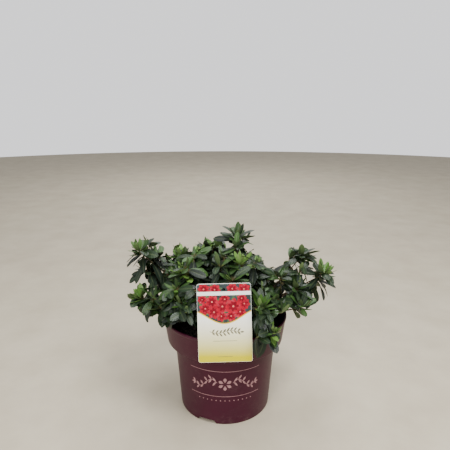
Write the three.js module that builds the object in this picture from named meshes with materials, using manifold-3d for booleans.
// An azalea shrub in a round nursery pot, with a plain picture label staked in front of it.
// Millimetres, +Z up, the pot's axis on Z and its underside at z = 0. The label faces -Y.
// The trunk forks low into boughs. Each bough carries one mass of foliage: a leading shoot with
// side shoots, every shoot leafy in a spiral up to a tuft of small upright leaves.

import * as THREE from "three";
import { mergeVertices } from "three/addons/utils/BufferGeometryUtils.js";
import Module from "manifold-3d";

const wasm = await Module();
wasm.setup();

// Clearance between neighbouring solids, the length under which an edge left by a cut is taken out,
// and how near each other vertices count as one, before and after cutting.
const GAP = 0.3;
const SLIVER = 0.02;
const SHARED = 1e-4;
const TOGETHER = 1e-3;

// The pot: a tapered body under a wider collar with a rolled lip.
const POT = {
  baseRadius: 85.4,
  neckRadius: 95,
  collarRadius: 108.7,
  lipRadius: 115.6,
  neckHeight: 134,
  shoulder: 3,
  height: 184,
  lipHeight: 5,
  lipStep: 1.2,
  lipRound: 1,
  taperIn: 0.6,
  wall: 2.2,
  floor: 2.4,
  footChamfer: 1.5,
  facets: 48,
};

// Three arched drain channels run under the floor and open as notches in the foot.
const DRAIN = { count: 3, firstAzimuth: -113, width: 38, height: 7, roof: 2, start: 24, slope: 5, below: 5 };

// The potting mix fills the pot to a little below the lip.
const MIX_TOP = 160;

// The label card leans back on the lip; its stake goes down inside the pot wall.
const LABEL = {
  width: 89,
  height: 130,
  thickness: 0.9,
  corner: 4,
  foot: [1.1, -124.4, 152],
  lean: 13.2,
  roll: 1.5,
  holeRadius: 2.4,
  curveSteps: 4,
  holeDrop: 10,
};
const STAKE = { width: 12, thickness: 1.6, length: 84, point: 6, lean: 16, top: [1.1, -110.1, 210] };

// The trunk, from the flat cut on the potting mix to the fork.
const TRUNK = {
  foot: MIX_TOP + GAP,
  height: 22,
  flare: 14.5,
  waist: 9.5,
  top: 8,
  lean: 3,
  sides: 10,
  rings: 6,
};

// Thickness of boughs and twigs, as radii.
const BOUGH = { root: 3.6, sideRoot: 2.9, tip: 2.1, sides: 6, rings: 4 };
const TWIG = { root: 1.7, tip: 0.8, sides: 3, rings: 3 };

// Each row is one bough and the mass at its end: the direction, reach and height of the mass's
// leading tip, the limb that it leaves, how many side shoots it has, and where the first one heads.
const BOUGHS = [
  { name: "centre_top", azimuth: 5, reach: 22, height: 340, from: "trunk", side: 1, heads: 70 },
  { name: "left_high", azimuth: 188, reach: 156, height: 312, from: "trunk", side: 1, heads: 30 },
  { name: "right_far", azimuth: -4, reach: 183, height: 265, from: "trunk", side: 1, heads: 110 },
  { name: "left_mid", azimuth: 178, reach: 84, height: 296, from: "trunk", side: 1, heads: 100 },
  { name: "back_left", azimuth: 138, reach: 112, height: 256, from: "trunk", side: 2, heads: 60 },
  { name: "back", azimuth: 92, reach: 88, height: 270, from: "trunk", side: 2, heads: 10 },
  { name: "back_right", azimuth: 48, reach: 108, height: 244, from: "trunk", side: 2, heads: 120 },
  { name: "centre_right", azimuth: -19, reach: 62, height: 280, from: "trunk", side: 1, heads: -10 },
  { name: "front_right", azimuth: -59, reach: 117, height: 238, from: "trunk", side: 1, heads: 20 },
  { name: "front", azimuth: -85, reach: 66, height: 252, from: "trunk", side: 1, heads: 200 },
  { name: "centre_left", azimuth: 176, reach: 46, height: 293, from: "centre_top", side: 1, heads: 260 },
  { name: "centre_back", azimuth: 122, reach: 28, height: 302, from: "centre_top", side: 1, heads: 120 },
  { name: "centre_front", azimuth: -63, reach: 56, height: 296, from: "centre_top", side: 1, heads: 250 },
  { name: "left_low", azimuth: 198, reach: 156, height: 232, from: "left_high", side: 1, heads: 300 },
  { name: "left_near", azimuth: 216, reach: 85, height: 280, from: "left_mid", side: 1, heads: 250 },
  { name: "left_front", azimuth: 230, reach: 117, height: 242, from: "left_mid", side: 1, heads: 160 },
  { name: "right_high", azimuth: 0, reach: 142, height: 295, from: "right_far", side: 1, heads: 150 },
  { name: "right_mid", azimuth: -17, reach: 132, height: 246, from: "right_far", side: 1, heads: 200 },
  { name: "right_low", azimuth: -23, reach: 146, height: 218, from: "right_far", side: 1, heads: 250 },
  { name: "front_right_low", azimuth: -56, reach: 142, height: 202, from: "front_right", side: 0, heads: 0 },
  { name: "back_left_low", azimuth: 158, reach: 142, height: 226, from: "back_left", side: 1, heads: 280 },
  { name: "back_low", azimuth: 102, reach: 110, height: 222, from: "back", side: 2, heads: 250 },
  { name: "back_right_low", azimuth: 22, reach: 142, height: 228, from: "back_right", side: 1, heads: 150 },
];

// Where on the trunk the boughs start, where on a bough its side boughs do, and how they bend.
const FORK = { top: 0.96, step: 0.07, levels: 5 };
const SIDE_START = 0.42;
const BOUGH_SHARE = 0.58;
const BOUGH_SAG = 0.05;

// How the leading shoot and the side shoots of a mass bend, and how far apart they end.
const LEAD_BEND = 0.45;
const SIDE_SHOOT = {
  first: 0.16,
  step: 0.16,
  spread: 38,
  drop: 16,
  dropStep: 12,
  ahead: 0.12,
  sag: 0.1,
  thinner: 0.85,
  free: 0.15,
  tries: [0, 30, -30, 60, -60],
};
const GOLDEN_ANGLE = 137.5;

// Leaves, from the lowest of a shoot to the highest, and the tuft at its end.
const LEAF = {
  lead: 10,
  side: 8,
  first: 0.18,
  last: 0.95,
  crowd: 1.8,
  length: [43, 33],
  spread: [92, 58],
  droop: [30, 8],
  width: 0.41,
  waist: 0.56,
  keel: 0.32,
  thickness: 0.028,
  cup: 0.1,
};
const TUFT = { count: 3, first: 0.9, step: 0.045, length: 19, spread: 28, droop: 0, width: 0.42 };

// How far the root of a leaf reaches past the middle of its twig.
const ROOT_SINKS = [0, 0.1, 0.2, 0.3, 0.4];

// The blade is tested for room at points about this far apart, past the bare share at its root.
// It keeps its distance from its own mass, from other masses and from the pot and the label.
const ROOM = { step: 2.8, bare: 0.26, own: 1.6, other: 3.2, rigid: 3, cell: 7 };
const ACROSS_BLADE = [-0.95, -0.5, 0, 0.5, 0.95];

// A leaf that finds no room tries these turns and raised angles in degrees, and these sizes.
const PLACE_TRIES = [
  [0, 0, 1],
  [22, 0, 1],
  [-22, 8, 1],
  [0, 16, 0.92],
  [40, 6, 0.85],
  [-40, -8, 0.85],
  [12, 26, 0.75],
];

// How much of a leaf's upper side faces along its shoot, against straight up.
const FACES_AHEAD = 0.6;

// A leaf's size varies by this share, and its angle by this many degrees.
const VARY = { size: 0.24, tilt: 16 };

const UP = new THREE.Vector3(0, 0, 1);
const DEGREE = Math.PI / 180;
const mix = (range, share) => range[0] + (range[1] - range[0]) * share;
const along = (a, b, share) => new THREE.Vector3().lerpVectors(a, b, share);

// A repeatable chain of numbers between 0 and 1.
function chance(seed) {
  let state = seed * 7919 + 17;
  return () => {
    state = (state * 48271) % 2147483647;
    return state / 2147483647;
  };
}

function polar(azimuth, reach, height) {
  const a = azimuth * DEGREE;
  return new THREE.Vector3(reach * Math.cos(a), reach * Math.sin(a), height);
}

// A closed geometry as a solid.
function solid(geometry) {
  const bare = geometry.index ? geometry.toNonIndexed() : geometry.clone();
  bare.deleteAttribute("normal");
  bare.deleteAttribute("uv");
  const merged = mergeVertices(bare, SHARED);
  return new wasm.Manifold(
    new wasm.Mesh({
      numProp: 3,
      vertProperties: merged.attributes.position.array,
      triVerts: new Uint32Array(merged.index.array),
    }),
  );
}

// A solid's largest body as a geometry, with the slivers that joining leaves taken out.
function largestBody(shape) {
  const bodies = shape.decompose().sort((a, b) => b.volume() - a.volume());
  const found = bodies[0].simplify(SLIVER).getMesh();
  const points = new Float32Array(found.numVert * 3);
  for (let i = 0; i < found.numVert; i += 1) {
    points.set(found.vertProperties.subarray(i * found.numProp, i * found.numProp + 3), i * 3);
  }
  const geometry = new THREE.BufferGeometry();
  geometry.setAttribute("position", new THREE.BufferAttribute(points, 3));
  geometry.setIndex(new THREE.BufferAttribute(found.triVerts, 1));
  return geometry;
}

// True where every edge has exactly two faces once vertices that lie almost together are one.
function isClosed(geometry) {
  const merged = mergeVertices(geometry, TOGETHER);
  const corners = merged.index.array;
  const faces = new Map();
  for (let i = 0; i < corners.length; i += 3) {
    const [a, b, c] = corners.subarray(i, i + 3);
    if (a === b || b === c || c === a) continue;
    for (const pair of [[a, b], [b, c], [c, a]]) {
      const edge = pair.sort((m, n) => m - n).join();
      faces.set(edge, (faces.get(edge) ?? 0) + 1);
    }
  }
  return [...faces.values()].every((count) => count === 2);
}

function named(name, geometry, material) {
  geometry.computeVertexNormals();
  const mesh = new THREE.Mesh(geometry, material);
  mesh.name = name;
  return mesh;
}

const piece = (name, shape, material) => named(name, largestBody(shape), material);

function lathe(profile, facets) {
  const points = profile.map(([r, z]) => new THREE.Vector2(r, z));
  return solid(new THREE.LatheGeometry(points, facets).rotateX(Math.PI / 2));
}

// One bending stretch of wood: a curve of one arch with a radius that depends on the share along it.
class Limb {
  constructor(start, bend, end, radius) {
    this.curve = new THREE.QuadraticBezierCurve3(start, bend, end);
    this.radius = radius;
    const arch = new THREE.Vector3().crossVectors(
      new THREE.Vector3().subVectors(end, start),
      new THREE.Vector3().subVectors(bend, start),
    );
    if (arch.length() < 1) {
      arch.crossVectors(new THREE.Vector3().subVectors(end, start), new THREE.Vector3(1, 0, 0.2));
    }
    this.across = arch.normalize();
  }

  // The point, direction and the two directions across the limb at a share of its length.
  at(share) {
    const point = this.curve.getPoint(share);
    const axis = this.curve.getTangent(share).normalize();
    const side = new THREE.Vector3().crossVectors(this.across, axis).normalize();
    return { point, axis, across: this.across, side };
  }

  // The limb as a closed tube whose cross-section has a few sides, grown outwards by some margin.
  geometry(sides, rings, margin = 0) {
    const tube = new THREE.CylinderGeometry(1, 1, 1, sides, rings);
    const place = tube.attributes.position;
    for (let i = 0; i < place.count; i += 1) {
      const share = place.getY(i) + 0.5;
      const { point, axis, across, side } = this.at(share);
      const radius = this.radius(share) + margin;
      point.addScaledVector(across, place.getX(i) * radius);
      point.addScaledVector(side, place.getZ(i) * radius);
      if (share === 0 || share === 1) point.addScaledVector(axis, (2 * share - 1) * margin);
      place.setXYZ(i, point.x, point.y, point.z);
    }
    return tube;
  }
}

// Remembers what fills the space, so that a leaf is only placed where it touches nothing.
class Room {
  constructor() {
    this.cells = new Map();
  }

  key(x, y, z) {
    return `${Math.floor(x / ROOM.cell)},${Math.floor(y / ROOM.cell)},${Math.floor(z / ROOM.cell)}`;
  }

  fill(points, radius, owner, shoot) {
    for (const point of points) {
      const key = this.key(point.x, point.y, point.z);
      if (!this.cells.has(key)) this.cells.set(key, []);
      this.cells.get(key).push({ point, radius, owner, shoot });
    }
  }

  fillLimb(limb, owner, shoot) {
    const count = Math.ceil(limb.curve.getLength() / ROOM.step);
    for (let i = 0; i <= count; i += 1) {
      this.fill([limb.at(i / count).point], limb.radius(i / count), owner, shoot);
    }
  }

  // True where a side shoot's outer part keeps clear of every limb of other masses.
  hasSpaceFor(limb, owner) {
    const count = Math.ceil(limb.curve.getLength() / ROOM.step);
    const points = [];
    for (let i = Math.ceil(count * SIDE_SHOOT.free); i <= count; i += 1) {
      points.push(limb.at(i / count).point);
    }
    return points.every(clearOfPot) && this.isFree(points, owner, -1);
  }

  isFree(points, owner, shoot) {
    for (const point of points) {
      for (let i = 0; i < 27; i += 1) {
        const x = point.x + ((i % 3) - 1) * ROOM.cell;
        const y = point.y + ((Math.floor(i / 3) % 3) - 1) * ROOM.cell;
        const z = point.z + (Math.floor(i / 9) - 1) * ROOM.cell;
        for (const other of this.cells.get(this.key(x, y, z)) ?? []) {
          const ownTwig = other.owner === owner && other.radius > 0;
          if (ownTwig && (shoot < 0 || other.shoot === shoot)) continue;
          const gap = other.radius + (other.owner === owner ? ROOM.own : ROOM.other);
          if (point.distanceToSquared(other.point) < gap * gap) return false;
        }
      }
    }
    return true;
  }
}

// True where a point is clear of the pot, the potting mix and the label, and not in front of it.
function clearOfPot(point) {
  const { rigid } = ROOM;
  const cardFace = LABEL.foot[1] + (point.z - LABEL.foot[2]) * Math.tan(LABEL.lean * DEGREE);
  const besideCard = Math.abs(point.x) < LABEL.width / 2 + rigid;
  if (besideCard && point.z < LABEL.foot[2] + LABEL.height + rigid && point.y < cardFace + 2 * rigid) {
    return false;
  }
  const stakeFace = STAKE.top[1] + (STAKE.top[2] - point.z) * Math.tan(STAKE.lean * DEGREE);
  const besideStake = Math.abs(point.x) < STAKE.width / 2 + 2 * rigid;
  if (besideStake && point.z < STAKE.top[2] + rigid && point.y < stakeFace + 2 * rigid) return false;
  if (point.z > POT.height + rigid) return true;
  const reach = Math.hypot(point.x, point.y);
  if (reach < POT.collarRadius - POT.wall - rigid) return point.z > MIX_TOP + rigid;
  return reach > POT.lipRadius + rigid && point.z > POT.neckHeight + rigid;
}

// Where a leaf lies: its root and tip, with the directions across and above the blade.
class Leaf {
  constructor(root, direction, form) {
    const droop = form.droop * DEGREE;
    this.direction = direction.clone().multiplyScalar(Math.cos(droop));
    this.direction.addScaledVector(UP, -Math.sin(droop)).normalize();
    this.root = root;
    this.length = form.length;
    this.width = form.length * form.width;
    this.across = new THREE.Vector3().crossVectors(form.above, this.direction).normalize();
    this.above = new THREE.Vector3().crossVectors(this.direction, this.across).normalize();
  }

  // The point at a share of the length, moved sideways by a share of half the width.
  at(share, aside) {
    const fullness = share < LEAF.waist ? share / LEAF.waist : (1 - share) / (1 - LEAF.waist);
    return this.root
      .clone()
      .addScaledVector(this.direction, this.length * share)
      .addScaledVector(this.across, aside * fullness * (this.width / 2))
      .addScaledVector(this.above, Math.abs(aside) * fullness * this.width * LEAF.cup);
  }

  // Points spread over the blade, without the narrow part at its root.
  samples() {
    const found = [];
    const rows = Math.ceil((this.length * (1 - ROOM.bare)) / ROOM.step);
    for (let i = 0; i <= rows; i += 1) {
      const share = ROOM.bare + ((1 - ROOM.bare) * i) / rows;
      for (const aside of ACROSS_BLADE) found.push(this.at(share, aside));
    }
    return found;
  }

  // A thin blade folded along its middle, with a keel below, whose root is sunk in the twig.
  solid(sink) {
    const blade = new THREE.SphereGeometry(1, 3, 2);
    const place = blade.attributes.position;
    const root = this.root.clone().addScaledVector(this.direction, -sink);
    const keel = this.at(LEAF.keel, 0).addScaledVector(this.above, -this.length * LEAF.thickness);
    for (let i = 0; i < place.count; i += 1) {
      const [x, y, z] = [place.getX(i), place.getY(i), place.getZ(i)].map((v) => Math.round(v * 1.1));
      let point = keel;
      if (y !== 0) point = this.at(LEAF.waist, -y);
      else if (z !== 0) point = z > 0 ? this.at(1, 0) : root;
      place.setXYZ(i, point.x, point.y, point.z);
    }
    return solid(blade);
  }
}

// A leaf's place on its shoot, at some angle to it and turned round it.
function leafOn(shoot, share, turn, form) {
  const { point, axis, across, side } = shoot.at(share);
  const outward = across.clone().multiplyScalar(Math.cos(turn)).addScaledVector(side, Math.sin(turn));
  const spread = form.spread * DEGREE;
  const direction = axis
    .clone()
    .multiplyScalar(Math.cos(spread))
    .addScaledVector(outward, Math.sin(spread));
  return new Leaf(point, direction, { ...form, above: axis.clone().multiplyScalar(FACES_AHEAD).add(UP) });
}

// Grows the leaves of one shoot. Lower leaves spread and droop, upper ones are shorter and upright.
// A leaf with no room is turned, raised or shortened, then skipped.
function growLeaves(shoot, owner, shootId, room) {
  const count = shootId === 0 ? LEAF.lead : LEAF.side;
  const draw = chance(owner * 64 + shootId + 1);
  const start = draw() * 360;
  const placed = [];
  for (let i = 0; i < count + TUFT.count; i += 1) {
    const age = Math.min(i / (count - 1), 1);
    const size = 1 + VARY.size * (draw() - 0.5);
    const tilt = VARY.tilt * (draw() - 0.5);
    const blade = {
      share: LEAF.first + (LEAF.last - LEAF.first) * (1 - (1 - age) ** LEAF.crowd),
      length: mix(LEAF.length, age),
      spread: mix(LEAF.spread, age),
      droop: mix(LEAF.droop, age),
      width: LEAF.width,
    };
    if (i >= count) Object.assign(blade, TUFT, { share: TUFT.first + TUFT.step * (i - count) });
    for (const [turn, raise, scale] of PLACE_TRIES) {
      const length = blade.length * size * scale;
      const spread = blade.spread + tilt - raise;
      const angle = (start + i * GOLDEN_ANGLE + turn) * DEGREE;
      const leaf = leafOn(shoot, blade.share, angle, { ...blade, length, spread });
      const points = leaf.samples();
      if (points.every(clearOfPot) && room.isFree(points, owner, shootId)) {
        room.fill(points, 0, owner, shootId);
        placed.push(leaf);
        break;
      }
    }
  }
  return placed;
}

// Joins the leaves of a mass to its twigs, with the roots sunk a little deeper until it closes.
function fuse(twigs, leaves) {
  let mass = null;
  for (const sink of ROOT_SINKS) {
    mass = largestBody(wasm.Manifold.union([...twigs, ...leaves.map((leaf) => leaf.solid(sink))]));
    if (isClosed(mass)) break;
  }
  return mass;
}

// The trunk rises from a flared foot to the fork, leaning a little to the left.
function growTrunk() {
  const foot = new THREE.Vector3(0, 0, TRUNK.foot);
  const bend = new THREE.Vector3(0, 0, TRUNK.foot + TRUNK.height * 0.5);
  const fork = new THREE.Vector3(-TRUNK.lean, 0, TRUNK.foot + TRUNK.height);
  const flare = (share) => (TRUNK.flare - TRUNK.waist) * (1 - share) ** 4;
  const taper = (share) => (TRUNK.top - TRUNK.waist) * share ** 2;
  const radius = (share) => TRUNK.waist + flare(share) + taper(share);
  return new Limb(foot, bend, fork, radius);
}

// Boughs leave the trunk one above the other, and side boughs leave a bough part of the way along.
function growBoughs(trunk) {
  const grown = new Map();
  BOUGHS.forEach((row, index) => {
    const main = row.from === "trunk";
    const parent = main ? trunk : grown.get(row.from).limb;
    const start = parent.at(main ? FORK.top - FORK.step * (index % FORK.levels) : SIDE_START).point;
    const tip = polar(row.azimuth, row.reach, row.height);
    const end = along(start, tip, BOUGH_SHARE).addScaledVector(UP, -BOUGH_SAG * row.reach);
    const bend = along(start, end, 0.5).addScaledVector(UP, -BOUGH_SAG * row.reach);
    const root = main ? BOUGH.root : BOUGH.sideRoot;
    const limb = new Limb(start, bend, end, (share) => root + (BOUGH.tip - root) * share);
    grown.set(row.name, { row, limb, tip });
  });
  return grown;
}

// The shoots of a mass: the leading one carries on from the bough, and the others fork off it and
// end lower, each on another side. A side shoot with no room heads elsewhere or is skipped.
function growShoots({ row, limb, tip }, owner, room) {
  const end = limb.at(1);
  const start = end.point.clone().addScaledVector(end.axis, GAP);
  const bend = start.clone().addScaledVector(end.axis, start.distanceTo(tip) * LEAD_BEND);
  const lead = new Limb(start, bend, tip, (share) => mix([TWIG.root, TWIG.tip], share));
  room.fillLimb(lead, owner, 0);
  const shoots = [lead];
  for (let i = 0; i < row.side; i += 1) {
    const fork = lead.at(SIDE_SHOOT.first + SIDE_SHOOT.step * i);
    for (const turn of SIDE_SHOOT.tries) {
      const aside = polar(row.heads + i * GOLDEN_ANGLE + turn, SIDE_SHOOT.spread, 0);
      const top = tip.clone().add(aside).addScaledVector(UP, -SIDE_SHOOT.drop - SIDE_SHOOT.dropStep * i);
      const reach = fork.point.distanceTo(top);
      const elbow = along(fork.point, top, 0.5).addScaledVector(fork.axis, reach * SIDE_SHOOT.ahead);
      elbow.addScaledVector(UP, -reach * SIDE_SHOOT.sag);
      const root = TWIG.root * SIDE_SHOOT.thinner;
      const shoot = new Limb(fork.point, elbow, top, (share) => mix([root, TWIG.tip], share));
      if (room.hasSpaceFor(shoot, owner)) {
        room.fillLimb(shoot, owner, i + 1);
        shoots.push(shoot);
        break;
      }
    }
  }
  return shoots;
}

// The pot's outer and inner outlines, from the axis out to the lip and back to the axis.
function potProfile() {
  const { wall, floor } = POT;
  const lipFoot = POT.height - POT.lipHeight;
  const under = POT.lipRadius - POT.lipStep;
  return [
    [0, 0],
    [POT.baseRadius - POT.footChamfer, 0],
    [POT.baseRadius, POT.footChamfer],
    [POT.neckRadius, POT.neckHeight],
    [POT.collarRadius, POT.neckHeight + POT.shoulder],
    [under, lipFoot],
    [POT.lipRadius, lipFoot + POT.lipRound],
    [POT.lipRadius, POT.height - POT.lipRound],
    [POT.lipRadius - POT.lipRound, POT.height],
    [under - wall, POT.height],
    [under - wall - POT.taperIn, lipFoot],
    [POT.collarRadius - wall, POT.neckHeight + POT.shoulder + wall],
    [POT.neckRadius - wall, POT.neckHeight + wall],
    [POT.baseRadius - wall, floor],
    [0, floor],
  ];
}

// The space inside the pot up to the top of the potting mix, drawn in by the clearance.
function mixProfile() {
  const { wall, floor } = POT;
  const slack = wall + GAP;
  const shelf = POT.neckHeight + POT.shoulder + wall;
  const rise = (MIX_TOP - shelf) / (POT.height - POT.lipHeight - shelf);
  const top = POT.collarRadius + (POT.lipRadius - POT.lipStep - POT.collarRadius) * rise;
  return [
    [0, floor + GAP],
    [POT.baseRadius - slack, floor + GAP],
    [POT.neckRadius - slack, POT.neckHeight + wall + GAP],
    [POT.collarRadius - slack, shelf + GAP],
    [top - slack - POT.taperIn, MIX_TOP],
    [0, MIX_TOP],
  ];
}

// One arched bar that runs out from near the axis through the foot of the wall.
function drainBar(azimuth, grow) {
  const half = DRAIN.width / 2 + grow;
  const top = DRAIN.height + grow;
  const arch = new THREE.Shape();
  arch.moveTo(-half, -DRAIN.below);
  arch.lineTo(half, -DRAIN.below);
  arch.lineTo(half, 0);
  arch.lineTo(half - DRAIN.slope, top);
  arch.lineTo(-half + DRAIN.slope, top);
  arch.lineTo(-half, 0);
  const bar = new THREE.ExtrudeGeometry(arch, { depth: 2 * POT.baseRadius, bevelEnabled: false });
  bar.translate(0, 0, DRAIN.start - grow);
  bar.rotateX(Math.PI / 2);
  bar.rotateZ(Math.PI + (azimuth - 90) * DEGREE);
  return solid(bar);
}

// The three drain channels, grown outwards by some margin.
function drainBars(grow) {
  const turns = [...Array(DRAIN.count).keys()].map((i) => DRAIN.firstAzimuth + (i * 360) / DRAIN.count);
  return wasm.Manifold.union(turns.map((azimuth) => drainBar(azimuth, grow)));
}

// The pot keeps a roof over each drain channel.
function makePot() {
  const outline = potProfile();
  const collar = outline.findIndex(([radius]) => radius === POT.collarRadius);
  const below = outline.slice(0, collar);
  const inside = lathe([...below, [0, POT.neckHeight]], POT.facets);
  const roofs = drainBars(DRAIN.roof).intersect(inside);
  return lathe(outline, POT.facets).add(roofs).subtract(drainBars(0));
}

// The potting mix fits round the drain channels and the stake.
function makeMix() {
  const fill = lathe(mixProfile(), POT.facets);
  return fill.subtract(drainBars(DRAIN.roof + GAP)).subtract(stakeSolid(GAP));
}

// A flat bar for the stake, with a pointed foot, that slants down and away from the card.
function stakeSolid(grow) {
  const half = STAKE.width / 2 + grow;
  const foot = -STAKE.length - grow;
  const outline = new THREE.Shape();
  outline.moveTo(-half, 0);
  outline.lineTo(-half, foot + STAKE.point);
  outline.lineTo(0, foot);
  outline.lineTo(half, foot + STAKE.point);
  outline.lineTo(half, 0);
  const depth = STAKE.thickness + 2 * grow;
  const bar = new THREE.ExtrudeGeometry(outline, { depth, bevelEnabled: false });
  bar.translate(0, 0, -depth / 2);
  bar.rotateX(Math.PI / 2 + STAKE.lean * DEGREE);
  bar.translate(...STAKE.top);
  return solid(bar);
}

// The label: a card with rounded corners and a punched hole, and the stake behind it.
function makeLabel() {
  const half = LABEL.width / 2;
  const card = new THREE.Shape();
  card.moveTo(-half + LABEL.corner, 0);
  card.lineTo(half - LABEL.corner, 0);
  card.absarc(half - LABEL.corner, LABEL.corner, LABEL.corner, -Math.PI / 2, 0);
  card.absarc(half - LABEL.corner, LABEL.height - LABEL.corner, LABEL.corner, 0, Math.PI / 2);
  card.absarc(-half + LABEL.corner, LABEL.height - LABEL.corner, LABEL.corner, Math.PI / 2, Math.PI);
  card.absarc(-half + LABEL.corner, LABEL.corner, LABEL.corner, Math.PI, 1.5 * Math.PI);
  const hole = new THREE.Path();
  hole.absarc(0, LABEL.height - LABEL.holeDrop, LABEL.holeRadius, 0, 2 * Math.PI, true);
  card.holes.push(hole);
  const sheet = new THREE.ExtrudeGeometry(card, {
    depth: LABEL.thickness,
    bevelEnabled: false,
    curveSegments: LABEL.curveSteps,
  });
  sheet.translate(0, 0, -LABEL.thickness / 2);
  sheet.rotateZ(LABEL.roll * DEGREE);
  sheet.rotateX(Math.PI / 2 - LABEL.lean * DEGREE);
  sheet.translate(...LABEL.foot);
  return solid(sheet).add(stakeSolid(0));
}

const finish = (color, roughness) => new THREE.MeshStandardMaterial({ color, roughness, metalness: 0 });
const MATERIALS = {
  pot: finish(0x4f2a31, 0.45),
  mix: finish(0x1e1613, 1),
  label: finish(0xe9e4cf, 0.35),
  bark: finish(0x5a4a34, 0.85),
  leaves: finish(0x33482a, 0.5),
};

function build() {
  const shrub = new THREE.Group();
  shrub.add(piece("pot", makePot(), MATERIALS.pot));
  shrub.add(piece("potting_mix", makeMix(), MATERIALS.mix));
  shrub.add(piece("label", makeLabel(), MATERIALS.label));

  const trunk = growTrunk();
  shrub.add(piece("trunk", solid(trunk.geometry(TRUNK.sides, TRUNK.rings)), MATERIALS.bark));
  let taken = solid(trunk.geometry(TRUNK.sides, TRUNK.rings, GAP));

  const room = new Room();
  const boughs = [...growBoughs(trunk).values()];
  for (const { row, limb } of boughs) {
    const shape = solid(limb.geometry(BOUGH.sides, BOUGH.rings)).subtract(taken);
    shrub.add(piece(`bough_${row.name}`, shape, MATERIALS.bark));
    taken = taken.add(solid(limb.geometry(BOUGH.sides, BOUGH.rings, GAP)));
    room.fillLimb(limb, -1, -1);
  }

  const masses = boughs.map((bough, owner) => growShoots(bough, owner, room));
  masses.forEach((shoots, owner) => {
    const twigs = shoots.map((shoot) => solid(shoot.geometry(TWIG.sides, TWIG.rings)));
    const leaves = shoots.flatMap((shoot, id) => growLeaves(shoot, owner, id, room));
    shrub.add(named(`foliage_${boughs[owner].row.name}`, fuse(twigs, leaves), MATERIALS.leaves));
  });
  return shrub;
}

export default build();
